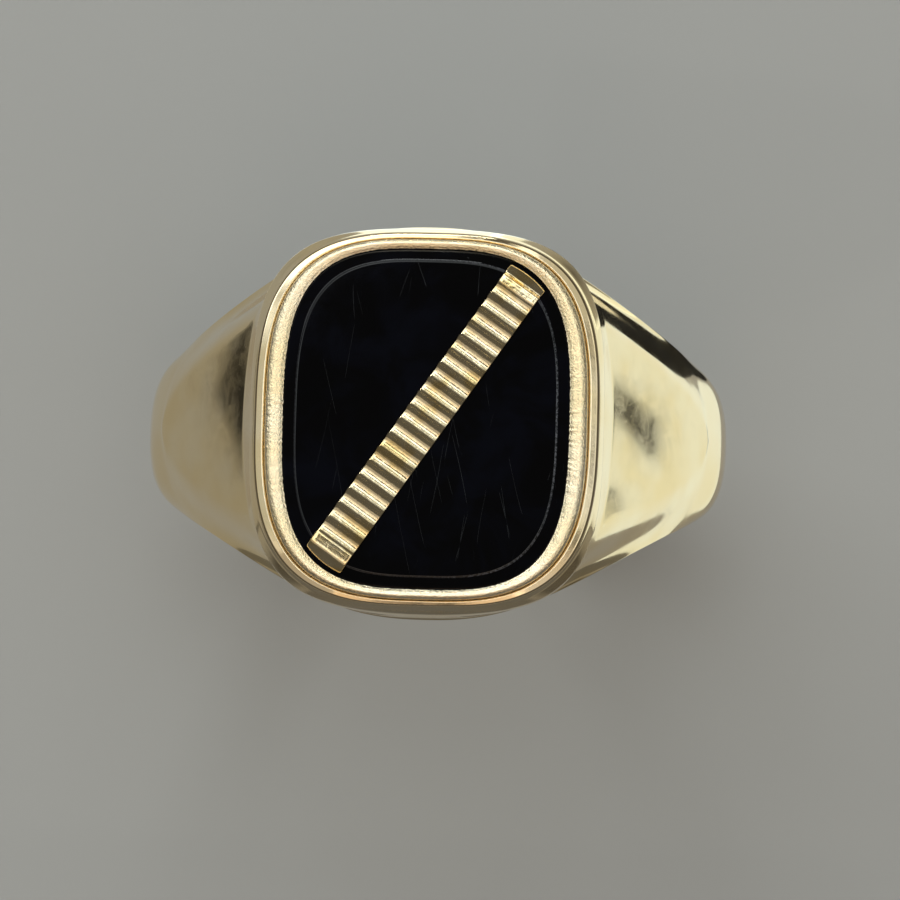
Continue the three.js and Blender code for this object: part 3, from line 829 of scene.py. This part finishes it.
class SIGNET_OT_head_frame(bpy.types.Operator):
    """Makes the stepped outer frame of the head"""

    bl_idname = "signet.head_frame"
    bl_label = "Head Frame"

    COLUMNS = 480
    # Out or in from the outline, across and along, then down from the top.
    WALL_OUT = np.array([0.06, 0.04, 0.27]) * MM
    WALL_TOP_DROP = 0.15 * MM
    ROUND_IN = np.array([0.08, 0.06, 0.07]) * MM
    INNER_ROUND = np.array([0.06, 0.045, 0.05]) * MM
    CUTS = np.array([0.01, 0.08, 0.05, 0.05, 0.03, 0.03, 0.01]) * MM

    def execute(self, context):
        head, tone = context.scene.signet_head, context.scene.signet_finishes
        power, plinth = head.outline_power, top_of("head_frame")
        half_x, half_y = head.frame_half_x, head.frame_half_y
        out, in_by, inner = self.WALL_OUT, self.ROUND_IN, self.INNER_ROUND
        pocket = top_of("setting_collar")
        inner_x, inner_y = pocket.x + FIT, pocket.y + FIT
        bottom = bottom_of("head_frame").z
        levels = [
            (plinth.x, plinth.y, bottom, head.plinth_power),
            (half_x + out[0], half_y + out[1], plinth.z - out[2], power),
            (half_x, half_y, plinth.z - self.WALL_TOP_DROP, power),
            (half_x - in_by[0], half_y - in_by[1], plinth.z - in_by[2], power),
            (inner_x + inner[0], inner_y + inner[1], plinth.z, power),
            (inner_x, inner_y, plinth.z - inner[2], power),
            (inner_x, inner_y, bottom, power),
        ]
        grid = carried_round(rounded(levels, self.CUTS), self.COLUMNS)
        mesh = mesh_of("head_frame_surface", [grid], (True, True))
        gold = gold_finish("frame_gold", tone.head, tone.polish * 1.15, tone.scratches, 0.25)
        piece_of("head_frame_rim", mesh, ["head_frame"], gold)
        return {"FINISHED"}


class SIGNET_OT_setting_collar(bpy.types.Operator):
    """Makes the collar whose top edge is rubbed over the bevel of the stone"""

    bl_idname = "signet.setting_collar"
    bl_label = "Setting Collar"

    COLUMNS = 900
    WALL_DROP = 0.24 * MM
    # In from the outline across and along, then down from the top.
    SHOULDER_IN = np.array([0.07, 0.04, 0.08]) * MM
    CREST_IN = np.array([0.26, 0.15]) * MM
    CREST_POWER = 3.1
    # Out from the opening across and along, then down from the top.
    LIP_OUT = np.array([0.12, 0.08, 0.05]) * MM
    LIP_THICKNESS = 0.02 * MM
    CUTS = np.array([0.01, 0.06, 0.07, 0.1, 0.05, 0.006, 0.005, 0.01, 0.01]) * MM
    # The lip's unevenness eases in from the first to the second of minus the reach from
    # the axis, and of the height above the lip's lower edge.
    UNEVEN_REACH = (-6.6 * MM, -5.0 * MM)
    UNEVEN_HEIGHT = (-0.03 * MM, 0.06 * MM)
    PLANISHING = 0.006 * MM
    SINK = 0.008 * MM

    def execute(self, context):
        head, tone = context.scene.signet_head, context.scene.signet_finishes
        outer, top = top_of("setting_collar"), top_of("setting_collar").z
        stone = top_of("onyx_plate")
        bottom = bottom_of("setting_collar").z
        slope = head.bevel_drop / (stone.x - head.table_half_x)
        lip = stone.z - slope * (head.opening_half_x - head.table_half_x) + FIT
        wall_x, wall_y = stone.x + FIT, stone.y + FIT
        soft, hard = head.stone_power, head.outline_power
        open_x, open_y = head.opening_half_x, head.opening_half_y
        shoulder, crest, lip_out = self.SHOULDER_IN, self.CREST_IN, self.LIP_OUT
        levels = [
            (outer.x, outer.y, bottom, hard),
            (outer.x, outer.y, top - self.WALL_DROP, hard),
            (outer.x - shoulder[0], outer.y - shoulder[1], top - shoulder[2], hard),
            (outer.x - crest[0], outer.y - crest[1], top, self.CREST_POWER),
            (open_x + lip_out[0], open_y + lip_out[1], top - lip_out[2], soft),
            (open_x, open_y, lip + self.LIP_THICKNESS, soft),
            (open_x, open_y, lip, soft),
            (wall_x, wall_y, stone.z - head.bevel_drop + FIT, soft),
            (wall_x, wall_y, bottom, soft),
        ]
        grid = carried_round(rounded(levels, self.CUTS), self.COLUMNS)
        turn = np.linspace(0, 2 * pi, self.COLUMNS, endpoint=False)
        inward = ease(-np.hypot(grid[..., 0], grid[..., 1]), *self.UNEVEN_REACH)
        near_top = ease(grid[..., 2], *(lip + height for height in self.UNEVEN_HEIGHT))
        wobble = waves(turn, 5, 40, 220) * head.lip_wobble * near_top
        planished = waves(turn, 8, 12, 90) * self.PLANISHING * near_top
        plan = grid[..., :2] / np.hypot(grid[..., 0], grid[..., 1])[..., None]
        grid[..., :2] += plan * (wobble * inward)[..., None]
        grid[..., 2] += planished - self.SINK * near_top
        mesh = mesh_of("setting_collar_surface", [grid], (True, True))
        gold = gold_finish("burnished_gold", tone.collar, 0.15, tone.scratches, 14.0, 12.0)
        piece_of("setting_collar_rim", mesh, ["setting_collar"], gold)
        return {"FINISHED"}


class SIGNET_OT_stone_seat(bpy.types.Operator):
    """Makes the bearing ring under the edge of the stone"""

    bl_idname = "signet.stone_seat"
    bl_label = "Stone Seat"

    COLUMNS = 300

    def execute(self, context):
        head, tone = context.scene.signet_head, context.scene.signet_finishes
        low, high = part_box("stone_seat")
        levels = [
            (high.x, high.y, low.z, head.stone_power),
            (high.x, high.y, high.z, head.stone_power),
            (head.window_half_x, head.window_half_y, high.z, head.outline_power),
            (head.window_half_x, head.window_half_y, low.z, head.outline_power),
        ]
        grid = carried_round(rounded(levels, np.full(4, 0.05 * MM)), self.COLUMNS)
        mesh = mesh_of("stone_seat_surface", [grid], (True, True))
        gold = gold_finish("inner_gold_seat", tone.inside, 0.36, tone.scratches, 3.0, 6.0)
        piece_of("stone_seat_ring", mesh, ["stone_seat"], gold)
        return {"FINISHED"}


def lathe(profile, columns, centre):
    """A profile of radius and height turned about a vertical line, closed at the axis."""
    turn = np.linspace(0, 2 * pi, columns, endpoint=False)
    radius, height = profile[:, 0, None], profile[:, 1, None]
    x = centre[0] + radius * np.cos(turn)
    y = centre[1] + radius * np.sin(turn)
    return np.stack([x, y, np.broadcast_to(height, x.shape)], axis=-1)


class SIGNET_OT_onyx_plate(bpy.types.Operator):
    """Makes the bevelled stone, with the channel for the bar and the two peg holes"""

    bl_idname = "signet.onyx_plate"
    bl_label = "Onyx Plate"

    COLUMNS = 480
    ARRIS_ROUND = 0.05 * MM
    BASE_ROUND = 0.04 * MM
    GIRDLE_ROUND = 0.02 * MM
    OFF_AXIS = 0.02 * MM
    FACE_RINGS = 14
    HOLE_CLEARANCE = 0.05 * MM
    CUTTER_REACH = 9 * MM
    CUTTER_HEIGHT = 2 * MM

    def execute(self, context):
        head, bar = context.scene.signet_head, context.scene.signet_bar
        tone = context.scene.signet_finishes
        low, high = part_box("onyx_plate")
        power = head.stone_power
        girdle_z = high.z - head.bevel_drop
        corners = [
            (0.0, 0.0, low.z, power),
            (high.x, high.y, low.z, power),
            (high.x, high.y, girdle_z, power),
            (head.table_half_x, head.table_half_y, high.z, power),
            (0.0, 0.0, high.z, power),
        ]
        cuts = np.array([0.0, self.BASE_ROUND, self.GIRDLE_ROUND, self.ARRIS_ROUND, 0.0])
        profile = rounded(corners, cuts)
        kept = profile[profile[:, 0] > self.OFF_AXIS]
        inner = np.linspace(1, 0.001, self.FACE_RINGS)[1:, None] * np.array([1.0, 1.0, 0.0, 0.0])
        table = kept[-1] * (inner + np.array([0.0, 0.0, 1.0, 1.0]))
        base = (kept[0] * (inner + np.array([0.0, 0.0, 1.0, 1.0])))[::-1]
        levels = np.concatenate([base, kept, table])
        grid = carried_round(levels, self.COLUMNS)
        poles = np.zeros((2, self.COLUMNS, 3))
        poles[0, :, 2], poles[1, :, 2] = low.z, high.z
        grid = np.concatenate([poles[:1], grid, poles[1:]])
        mesh = mesh_of("onyx_surface", [grid], (False, True))
        black = onyx_finish("onyx", tone.stone, tone.scratches)
        piece = piece_of("onyx_stone", mesh, ["onyx_plate"], black)
        self.cut(piece, bar)
        return {"FINISHED"}

    def cut(self, piece, bar):
        """Takes the bar's channel and the peg holes out of the stone."""
        floor = bottom_of("fluted_bar").z - FIT
        half = bar.width / 2 + FIT
        top, past = floor + self.CUTTER_HEIGHT, self.CUTTER_REACH
        u = np.array([-past, past, past, -past])
        v = np.array([-half, -half, half, half])
        x = u * np.cos(bar.lean) - v * np.sin(bar.lean)
        y = u * np.sin(bar.lean) + v * np.cos(bar.lean)
        rings = [np.stack([x * k, y * k, np.full(4, z)], axis=-1)
                 for k, z in ((0.0, floor), (1.0, floor), (1.0, top), (0.0, top))]
        cutters = [mesh_of("channel_cutter", [np.array(rings)], (False, True))]
        bottom = bottom_of("onyx_plate").z - MM
        for node in ("bar_peg_lower", "bar_peg_upper"):
            centre = middle_of(node)
            radius = bar.peg_radius + self.HOLE_CLEARANCE
            profile = np.array([[0, bottom], [radius, bottom], [radius, floor + MM], [0, floor + MM]])
            cutters.append(mesh_of("hole_cutter", [lathe(profile, 64, centre)], (False, True)))
        for mesh in cutters:
            tool = bpy.data.objects.new("stone_cutter", mesh)
            bpy.context.scene.collection.objects.link(tool)
            step = piece.modifiers.new("cut", "BOOLEAN")
            step.operation = "DIFFERENCE"
            step.solver = "EXACT"
            step.object = tool
            graph = bpy.context.evaluated_depsgraph_get()
            result = bpy.data.meshes.new_from_object(piece.evaluated_get(graph))
            piece.modifiers.clear()
            piece.data = result
            bpy.data.objects.remove(tool)
        piece.data.shade_smooth()
        piece.data.set_sharp_from_angle(angle=radians(30))


class SIGNET_OT_fluted_bar(bpy.types.Operator):
    """Makes the gold bar with its flutes, rounded edges and plain ends"""

    bl_idname = "signet.fluted_bar"
    bl_label = "Fluted Bar"

    SAMPLES = 14
    END_SAMPLES = 40
    ACROSS = 15
    PLAIN_DROP = 0.02 * MM
    BEND_MARGIN = 0.08 * MM
    BEND_SOFTNESS = 0.05 * MM
    # A groove across the upper plain end: its distance past the flutes, width and depth.
    GROOVE = {"past": 0.33 * MM, "width": 0.035 * MM, "depth": 0.07 * MM}

    def execute(self, context):
        head, bar = context.scene.signet_head, context.scene.signet_bar
        tone = context.scene.signet_finishes
        mesh = mesh_of("fluted_bar_surface", [self.surface(head, bar)], (False, True))
        gold = fluted_finish("fluted_gold", tone.bar, 0.12, bar.lean)
        piece_of("fluted_bar_strip", mesh, ["fluted_bar"], gold)
        return {"FINISHED"}

    def surface(self, head, bar):
        """A closed section carried along the bar. The top follows hollow flutes, parabolas
        between sharp crests, then plain ends that bend down with the stone's bevel, and the
        ends follow the outline of the opening."""
        crest, floor = top_of("fluted_bar").z, bottom_of("fluted_bar").z
        fluted = bar.flutes * bar.pitch / 2
        half = bar.width / 2
        soft = bar.edge_round

        body = np.linspace(-fluted, fluted, bar.flutes * self.SAMPLES + 1)
        ends = np.linspace(0, 1, self.END_SAMPLES)[1:]
        v_flat = np.linspace(-half + soft, half - soft, self.ACROSS)
        bend = np.linspace(0, pi / 2, 5)[1:]
        right_v = half - soft + soft * np.sin(bend)
        right_drop = soft * (1 - np.cos(bend))
        v = np.concatenate([[-half], -right_v[::-1], v_flat, right_v, [half]])
        drop = np.concatenate([right_drop[-1:], right_drop[::-1], 0 * v_flat, right_drop,
                               right_drop[-1:]])
        base = np.zeros(len(v), bool)
        base[[0, -1]] = True

        reach_up = self.reach(head, bar, v)
        reach_down = self.reach(head, bar, -v)
        u_up = mix(fluted, reach_up[None, :], ends[:, None])
        u_down = -mix(fluted, reach_down[None, :], ends[::-1, None])
        u = np.concatenate([u_down, np.broadcast_to(body[:, None], (len(body), len(v))), u_up])

        plain = crest - self.PLAIN_DROP
        table_x, table_y = cushion(head.table_half_x, head.table_half_y, head.stone_power, bar.lean)
        bend_start = hypot(table_x, table_y) - self.BEND_MARGIN
        slope = head.bevel_drop / (top_of("onyx_plate").x - head.table_half_x)
        part = (np.abs(u) + fluted) / bar.pitch % 1.0
        flute = crest - bar.depth * 4 * part * (1 - part)
        past = np.abs(u) - bend_start
        bent = plain - slope * 0.5 * (past + np.sqrt(past ** 2 + self.BEND_SOFTNESS ** 2))
        groove_at = (u - fluted - self.GROOVE["past"]) / self.GROOVE["width"]
        groove = self.GROOVE["depth"] * np.exp(-(groove_at ** 2))
        height = np.where(np.abs(u) < fluted, flute, bent - groove) - drop

        gap = np.where(u > 0, reach_up, reach_down) - np.abs(u)
        fall = np.clip(1 - gap / bar.end_round, 0, 1)
        height = height - bar.end_round * (1 - np.sqrt(np.maximum(1 - fall ** 2, 0)))
        height = np.where(base[None, :], floor, height)
        grid = np.stack([
            u * np.cos(bar.lean) - v * np.sin(bar.lean),
            u * np.sin(bar.lean) + v * np.cos(bar.lean),
            height,
        ], axis=-1)
        foot = grid[[0, -1]].copy()
        foot[..., 2] = floor
        poles = np.broadcast_to(foot.mean(axis=1, keepdims=True), foot.shape)
        return np.concatenate([poles[:1], foot[:1], grid, foot[1:], poles[1:]])

    @staticmethod
    def reach(head, bar, v):
        """How far the bar runs along its own line at a distance v beside it, before it
        comes within the margin of the opening, found by halving the interval."""
        half_x = head.opening_half_x - bar.end_margin
        half_y = head.opening_half_y - bar.end_margin
        near, far = np.zeros_like(v), np.full_like(v, 10 * MM)
        for _ in range(40):
            u = (near + far) / 2
            x = u * np.cos(bar.lean) - v * np.sin(bar.lean)
            y = u * np.sin(bar.lean) + v * np.cos(bar.lean)
            power = head.stone_power
            inside = (np.abs(x) / half_x) ** power + (np.abs(y) / half_y) ** power < 1
            near, far = np.where(inside, u, near), np.where(inside, far, u)
        return near


class SIGNET_OT_bar_pegs(bpy.types.Operator):
    """Makes the two pegs that hold the bar, with riveted heads behind the stone"""

    bl_idname = "signet.bar_pegs"
    bl_label = "Bar Pegs"

    COLUMNS = 72
    DOME = {"share": 0.6, "height": 0.04 * MM}
    HEAD_EDGE = 0.1 * MM
    CUTS = np.array([0.0, 0.12, 0.05, 0.02, 0.01, 0.02, 0.0]) * MM
    OFF_AXIS = 0.01 * MM

    def execute(self, context):
        bar, tone = context.scene.signet_bar, context.scene.signet_finishes
        gold = gold_finish("inner_gold_peg", tone.inside, 0.32, tone.scratches, 2.5, 7.0)
        for node in ("bar_peg_lower", "bar_peg_upper"):
            low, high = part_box(node)
            centre = middle_of(node)
            head_radius = (high.x - low.x) / 2
            head_top = bottom_of("onyx_plate").z - FIT
            corners = np.array([
                (0.0, 0.0, low.z, 2.0),
                (head_radius * self.DOME["share"], 0.0, low.z + self.DOME["height"], 2.0),
                (head_radius, 0.0, head_top - self.HEAD_EDGE, 2.0),
                (head_radius, 0.0, head_top, 2.0),
                (bar.peg_radius, 0.0, head_top, 2.0),
                (bar.peg_radius, 0.0, high.z, 2.0),
                (0.0, 0.0, high.z, 2.0),
            ])
            profile = rounded(corners, self.CUTS)[:, [0, 2]]
            ends = np.array([[0.0, low.z], [0.0, high.z]])
            off_axis = profile[profile[:, 0] > self.OFF_AXIS]
            profile = np.concatenate([ends[:1], off_axis, ends[1:]])
            mesh = mesh_of(node + "_surface", [lathe(profile, self.COLUMNS, centre)], (False, True))
            piece_of(node + "_pin", mesh, [node], gold)
        return {"FINISHED"}


class SIGNET_OT_studio(bpy.types.Operator):
    """Makes the floor, the lights and the camera"""

    bl_idname = "signet.studio"
    bl_label = "Studio"

    LIGHT_DISTANCE = 320 * MM
    FLOOR_GAP = 0.05 * MM
    FLAG_HEIGHT = 0.8 * MM
    AIM_HEIGHT = 12.1 * MM
    AIMED_BESIDE = (0.861, -1.121, 0.0)
    SENSOR_WIDTH = 36.0

    def execute(self, context):
        scene = context.scene
        studio = scene.signet_studio
        scene.view_settings.view_transform = "Standard"
        self.floor(scene, studio)
        self.world(scene, studio)
        self.lights(scene, studio)
        self.camera(scene, studio)
        return {"FINISHED"}

    def floor(self, scene, studio):
        """A flat square just under the back of the band."""
        side = np.linspace(-studio.floor_size / 2, studio.floor_size / 2, 9)
        x, y = np.meshgrid(side, side)
        height = np.full_like(x, bottom_of("shank").z - self.FLOOR_GAP)
        grid = np.stack([x, y, height], axis=-1)
        mesh = bpy.data.meshes.new("floor_surface")
        mesh.from_pydata(grid.reshape(-1, 3).tolist(), [], quads(x.shape)[:, ::-1].tolist())
        mesh.materials.append(floor_finish(studio.floor_colour))
        floor = bpy.data.objects.new("floor", mesh)
        scene.collection.objects.link(floor)

    @staticmethod
    def world(scene, studio):
        """A dim room, the same in all directions."""
        world = bpy.data.worlds.new("dim_room")
        world.use_nodes = True
        background = next(n for n in world.node_tree.nodes if n.type == "BACKGROUND")
        background.inputs["Color"].default_value = (1.0, 0.95, 0.85, 1.0)
        background.inputs["Strength"].default_value = 0.1 * studio.brightness
        scene.world = world

    @staticmethod
    def softbox(scene, name, place, aim, size, strength, tint):
        """A rectangular light that the camera doesn't see. Strength is its brightness, so
        its power is the brightness times its area times pi."""
        light = bpy.data.lights.new(name, "AREA")
        light.shape = "RECTANGLE"
        light.size, light.size_y = size
        light.energy = strength * light.size * light.size_y * pi
        light.color = tint
        box = bpy.data.objects.new(name, light)
        box.location = place
        direction = (Vector(aim) - Vector(place)).normalized()
        box.rotation_euler = direction.to_track_quat("-Z", "Y").to_euler()
        box.visible_camera = False
        scene.collection.objects.link(box)

    def overhead(self, scene, name, bearing, tilt, spread, strength, tint):
        """A softbox at a bearing from +X and a tilt from straight up, facing the stone.
        Spread is the pair of angles that it covers along the bearing and along the tilt."""
        distance = self.LIGHT_DISTANCE
        around, up = radians(bearing), radians(tilt)
        middle = Vector((0, 0, top_of("onyx_plate").z))
        away = Vector((sin(up) * cos(around), sin(up) * sin(around), cos(up)))
        size = [2 * distance * tan(radians(angle_covered) / 2) for angle_covered in spread]
        self.softbox(scene, name, middle + away * distance, middle, size, strength, tint)

    @staticmethod
    def flag(scene, name, corners, height, material):
        """A level card that shows only in reflections. Corners are in millimetres."""
        mesh = bpy.data.meshes.new(name)
        points = [(x * MM, y * MM, height) for x, y in corners]
        mesh.from_pydata(points, [], [tuple(range(len(points)))])
        mesh.materials.append(material)
        card = bpy.data.objects.new(name, mesh)
        card.visible_camera = False
        card.visible_diffuse = False
        card.visible_shadow = False
        scene.collection.objects.link(card)

    def lights(self, scene, studio):
        """Two rings of softboxes round the camera for the tops of the rims and the flutes, a
        key light on the +Y side, and low cards for the shoulders and the finger-hole edge."""
        power = studio.brightness
        ring = ((0, 1.3, 0.8, WHITE), (45, 1.1, 0.5, WHITE), (90, 1.8, 1.8, WHITE),
                (135, 1.2, 0.6, WHITE), (180, 1.1, 0.5, WHITE), (225, 0.9, 0.35, WARM),
                (270, 1.2, 0.8, ORANGE), (315, 1.3, 0.6, WARM))
        for bearing, inner, outer, tint in ring:
            name = f"ring_light_{bearing}"
            self.overhead(scene, name, bearing, 20, (16, 23), inner * power, tint)
            name = f"outer_light_{bearing}"
            self.overhead(scene, name, bearing, 43, (34, 20), outer * power, tint)
        self.overhead(scene, "key", 125, 52, (60, 22), 1.8 * power, WHITE)
        self.overhead(scene, "lamp", 92, 70, (16, 4), 16 * power, WHITE)
        floor = bottom_of("shank").z
        for name, place, size, strength in (
            ("shoulder_card", (42, 0, 0.2), (48, 40), 0.72),
            ("edge_strip", (31, 32, 0.4), (56, 26), 0.9),
            ("head_strip", (-2, 19, 0.2), (14, 22), 1.1),
        ):
            low = Vector((0, 0, floor)) + Vector(place) * MM
            above = low + Vector((0, 0, 1))
            self.softbox(scene, name, low, above, [side * MM for side in size], strength * power, COOL)
        black = cloth_finish("black_cloth", 0.004)
        grey = cloth_finish("grey_cloth", 0.18)
        for name, corners, cloth in (
            ("edge_flag", [
                (4, 6.5), (14.5, 6.5), (18, 8.2), (21, 12), (20, 14.5), (15.5, 16.5), (4, 17.5),
            ], black),
            ("front_flag", [(-70, -16), (-70, -120), (70, -120), (70, -16)], grey),
            ("left_flag", [(-47, 10.5), (-47, 0), (-42.5, -1), (-36.5, 4), (-40.5, 9.5)], black),
            ("long_streak", [(50.5, 5.6), (50.5, 7.4), (40.6, 3.4), (40.6, 0.8)], black),
            ("short_streak", [(52, -3), (52, -1.2), (47.8, -0.4), (47.8, -1.9)], black),
        ):
            self.flag(scene, name, corners, floor + self.FLAG_HEIGHT, cloth)

    def camera(self, scene, studio):
        """Looks down on the stone, slightly from the side of the finger hole's edge."""
        turn = (
            Matrix.Rotation(studio.view_yaw, 3, "Y")
            @ Matrix.Rotation(studio.view_pitch, 3, "X")
            @ Matrix.Rotation(studio.view_roll, 3, "Z")
        )
        aimed_beside = Vector(self.AIMED_BESIDE) * MM
        target = Vector((0, 0, self.AIM_HEIGHT)) + turn @ aimed_beside
        data = bpy.data.cameras.new("camera")
        data.lens = studio.lens
        data.sensor_width = self.SENSOR_WIDTH
        data.clip_start = 0.01
        camera = bpy.data.objects.new("camera", data)
        camera.location = target + turn @ Vector((0, 0, studio.camera_distance))
        camera.rotation_euler = turn.to_euler()
        scene.collection.objects.link(camera)
        scene.camera = camera


# ---------------------------------------------------------------- panel and registration

OPERATORS = (
    SIGNET_OT_studio,
    SIGNET_OT_shank,
    SIGNET_OT_head_frame,
    SIGNET_OT_setting_collar,
    SIGNET_OT_stone_seat,
    SIGNET_OT_onyx_plate,
    SIGNET_OT_fluted_bar,
    SIGNET_OT_bar_pegs,
)
SETTINGS = {
    "signet_shank": ShankSizes,
    "signet_head": HeadSizes,
    "signet_bar": BarSizes,
    "signet_finishes": Finishes,
    "signet_studio": StudioSettings,
}


class SIGNET_PT_sidebar(bpy.types.Panel):
    """Settings and steps of the signet ring"""

    bl_idname = "SIGNET_PT_sidebar"
    bl_label = "Signet Ring"
    bl_space_type = "VIEW_3D"
    bl_region_type = "UI"
    bl_category = "Signet Ring"

    def draw(self, context):
        for name, group in SETTINGS.items():
            box = self.layout.box()
            box.label(text=group.__doc__)
            for setting in group.__annotations__:
                box.prop(getattr(context.scene, name), setting)
        for operator in OPERATORS:
            self.layout.operator(operator.bl_idname)


def register():
    for kind in (*SETTINGS.values(), *OPERATORS, SIGNET_PT_sidebar):
        bpy.utils.register_class(kind)
    for name, group in SETTINGS.items():
        setattr(bpy.types.Scene, name, PointerProperty(type=group))


def unregister():
    for name in SETTINGS:
        delattr(bpy.types.Scene, name)
    for kind in (SIGNET_PT_sidebar, *reversed(OPERATORS), *reversed(SETTINGS.values())):
        bpy.utils.unregister_class(kind)


def main():
    """Makes the whole scene."""
    register()
    for operator in OPERATORS:
        group, name = operator.bl_idname.split(".")
        getattr(getattr(bpy.ops, group), name)()


if __name__ == "__main__":
    main()
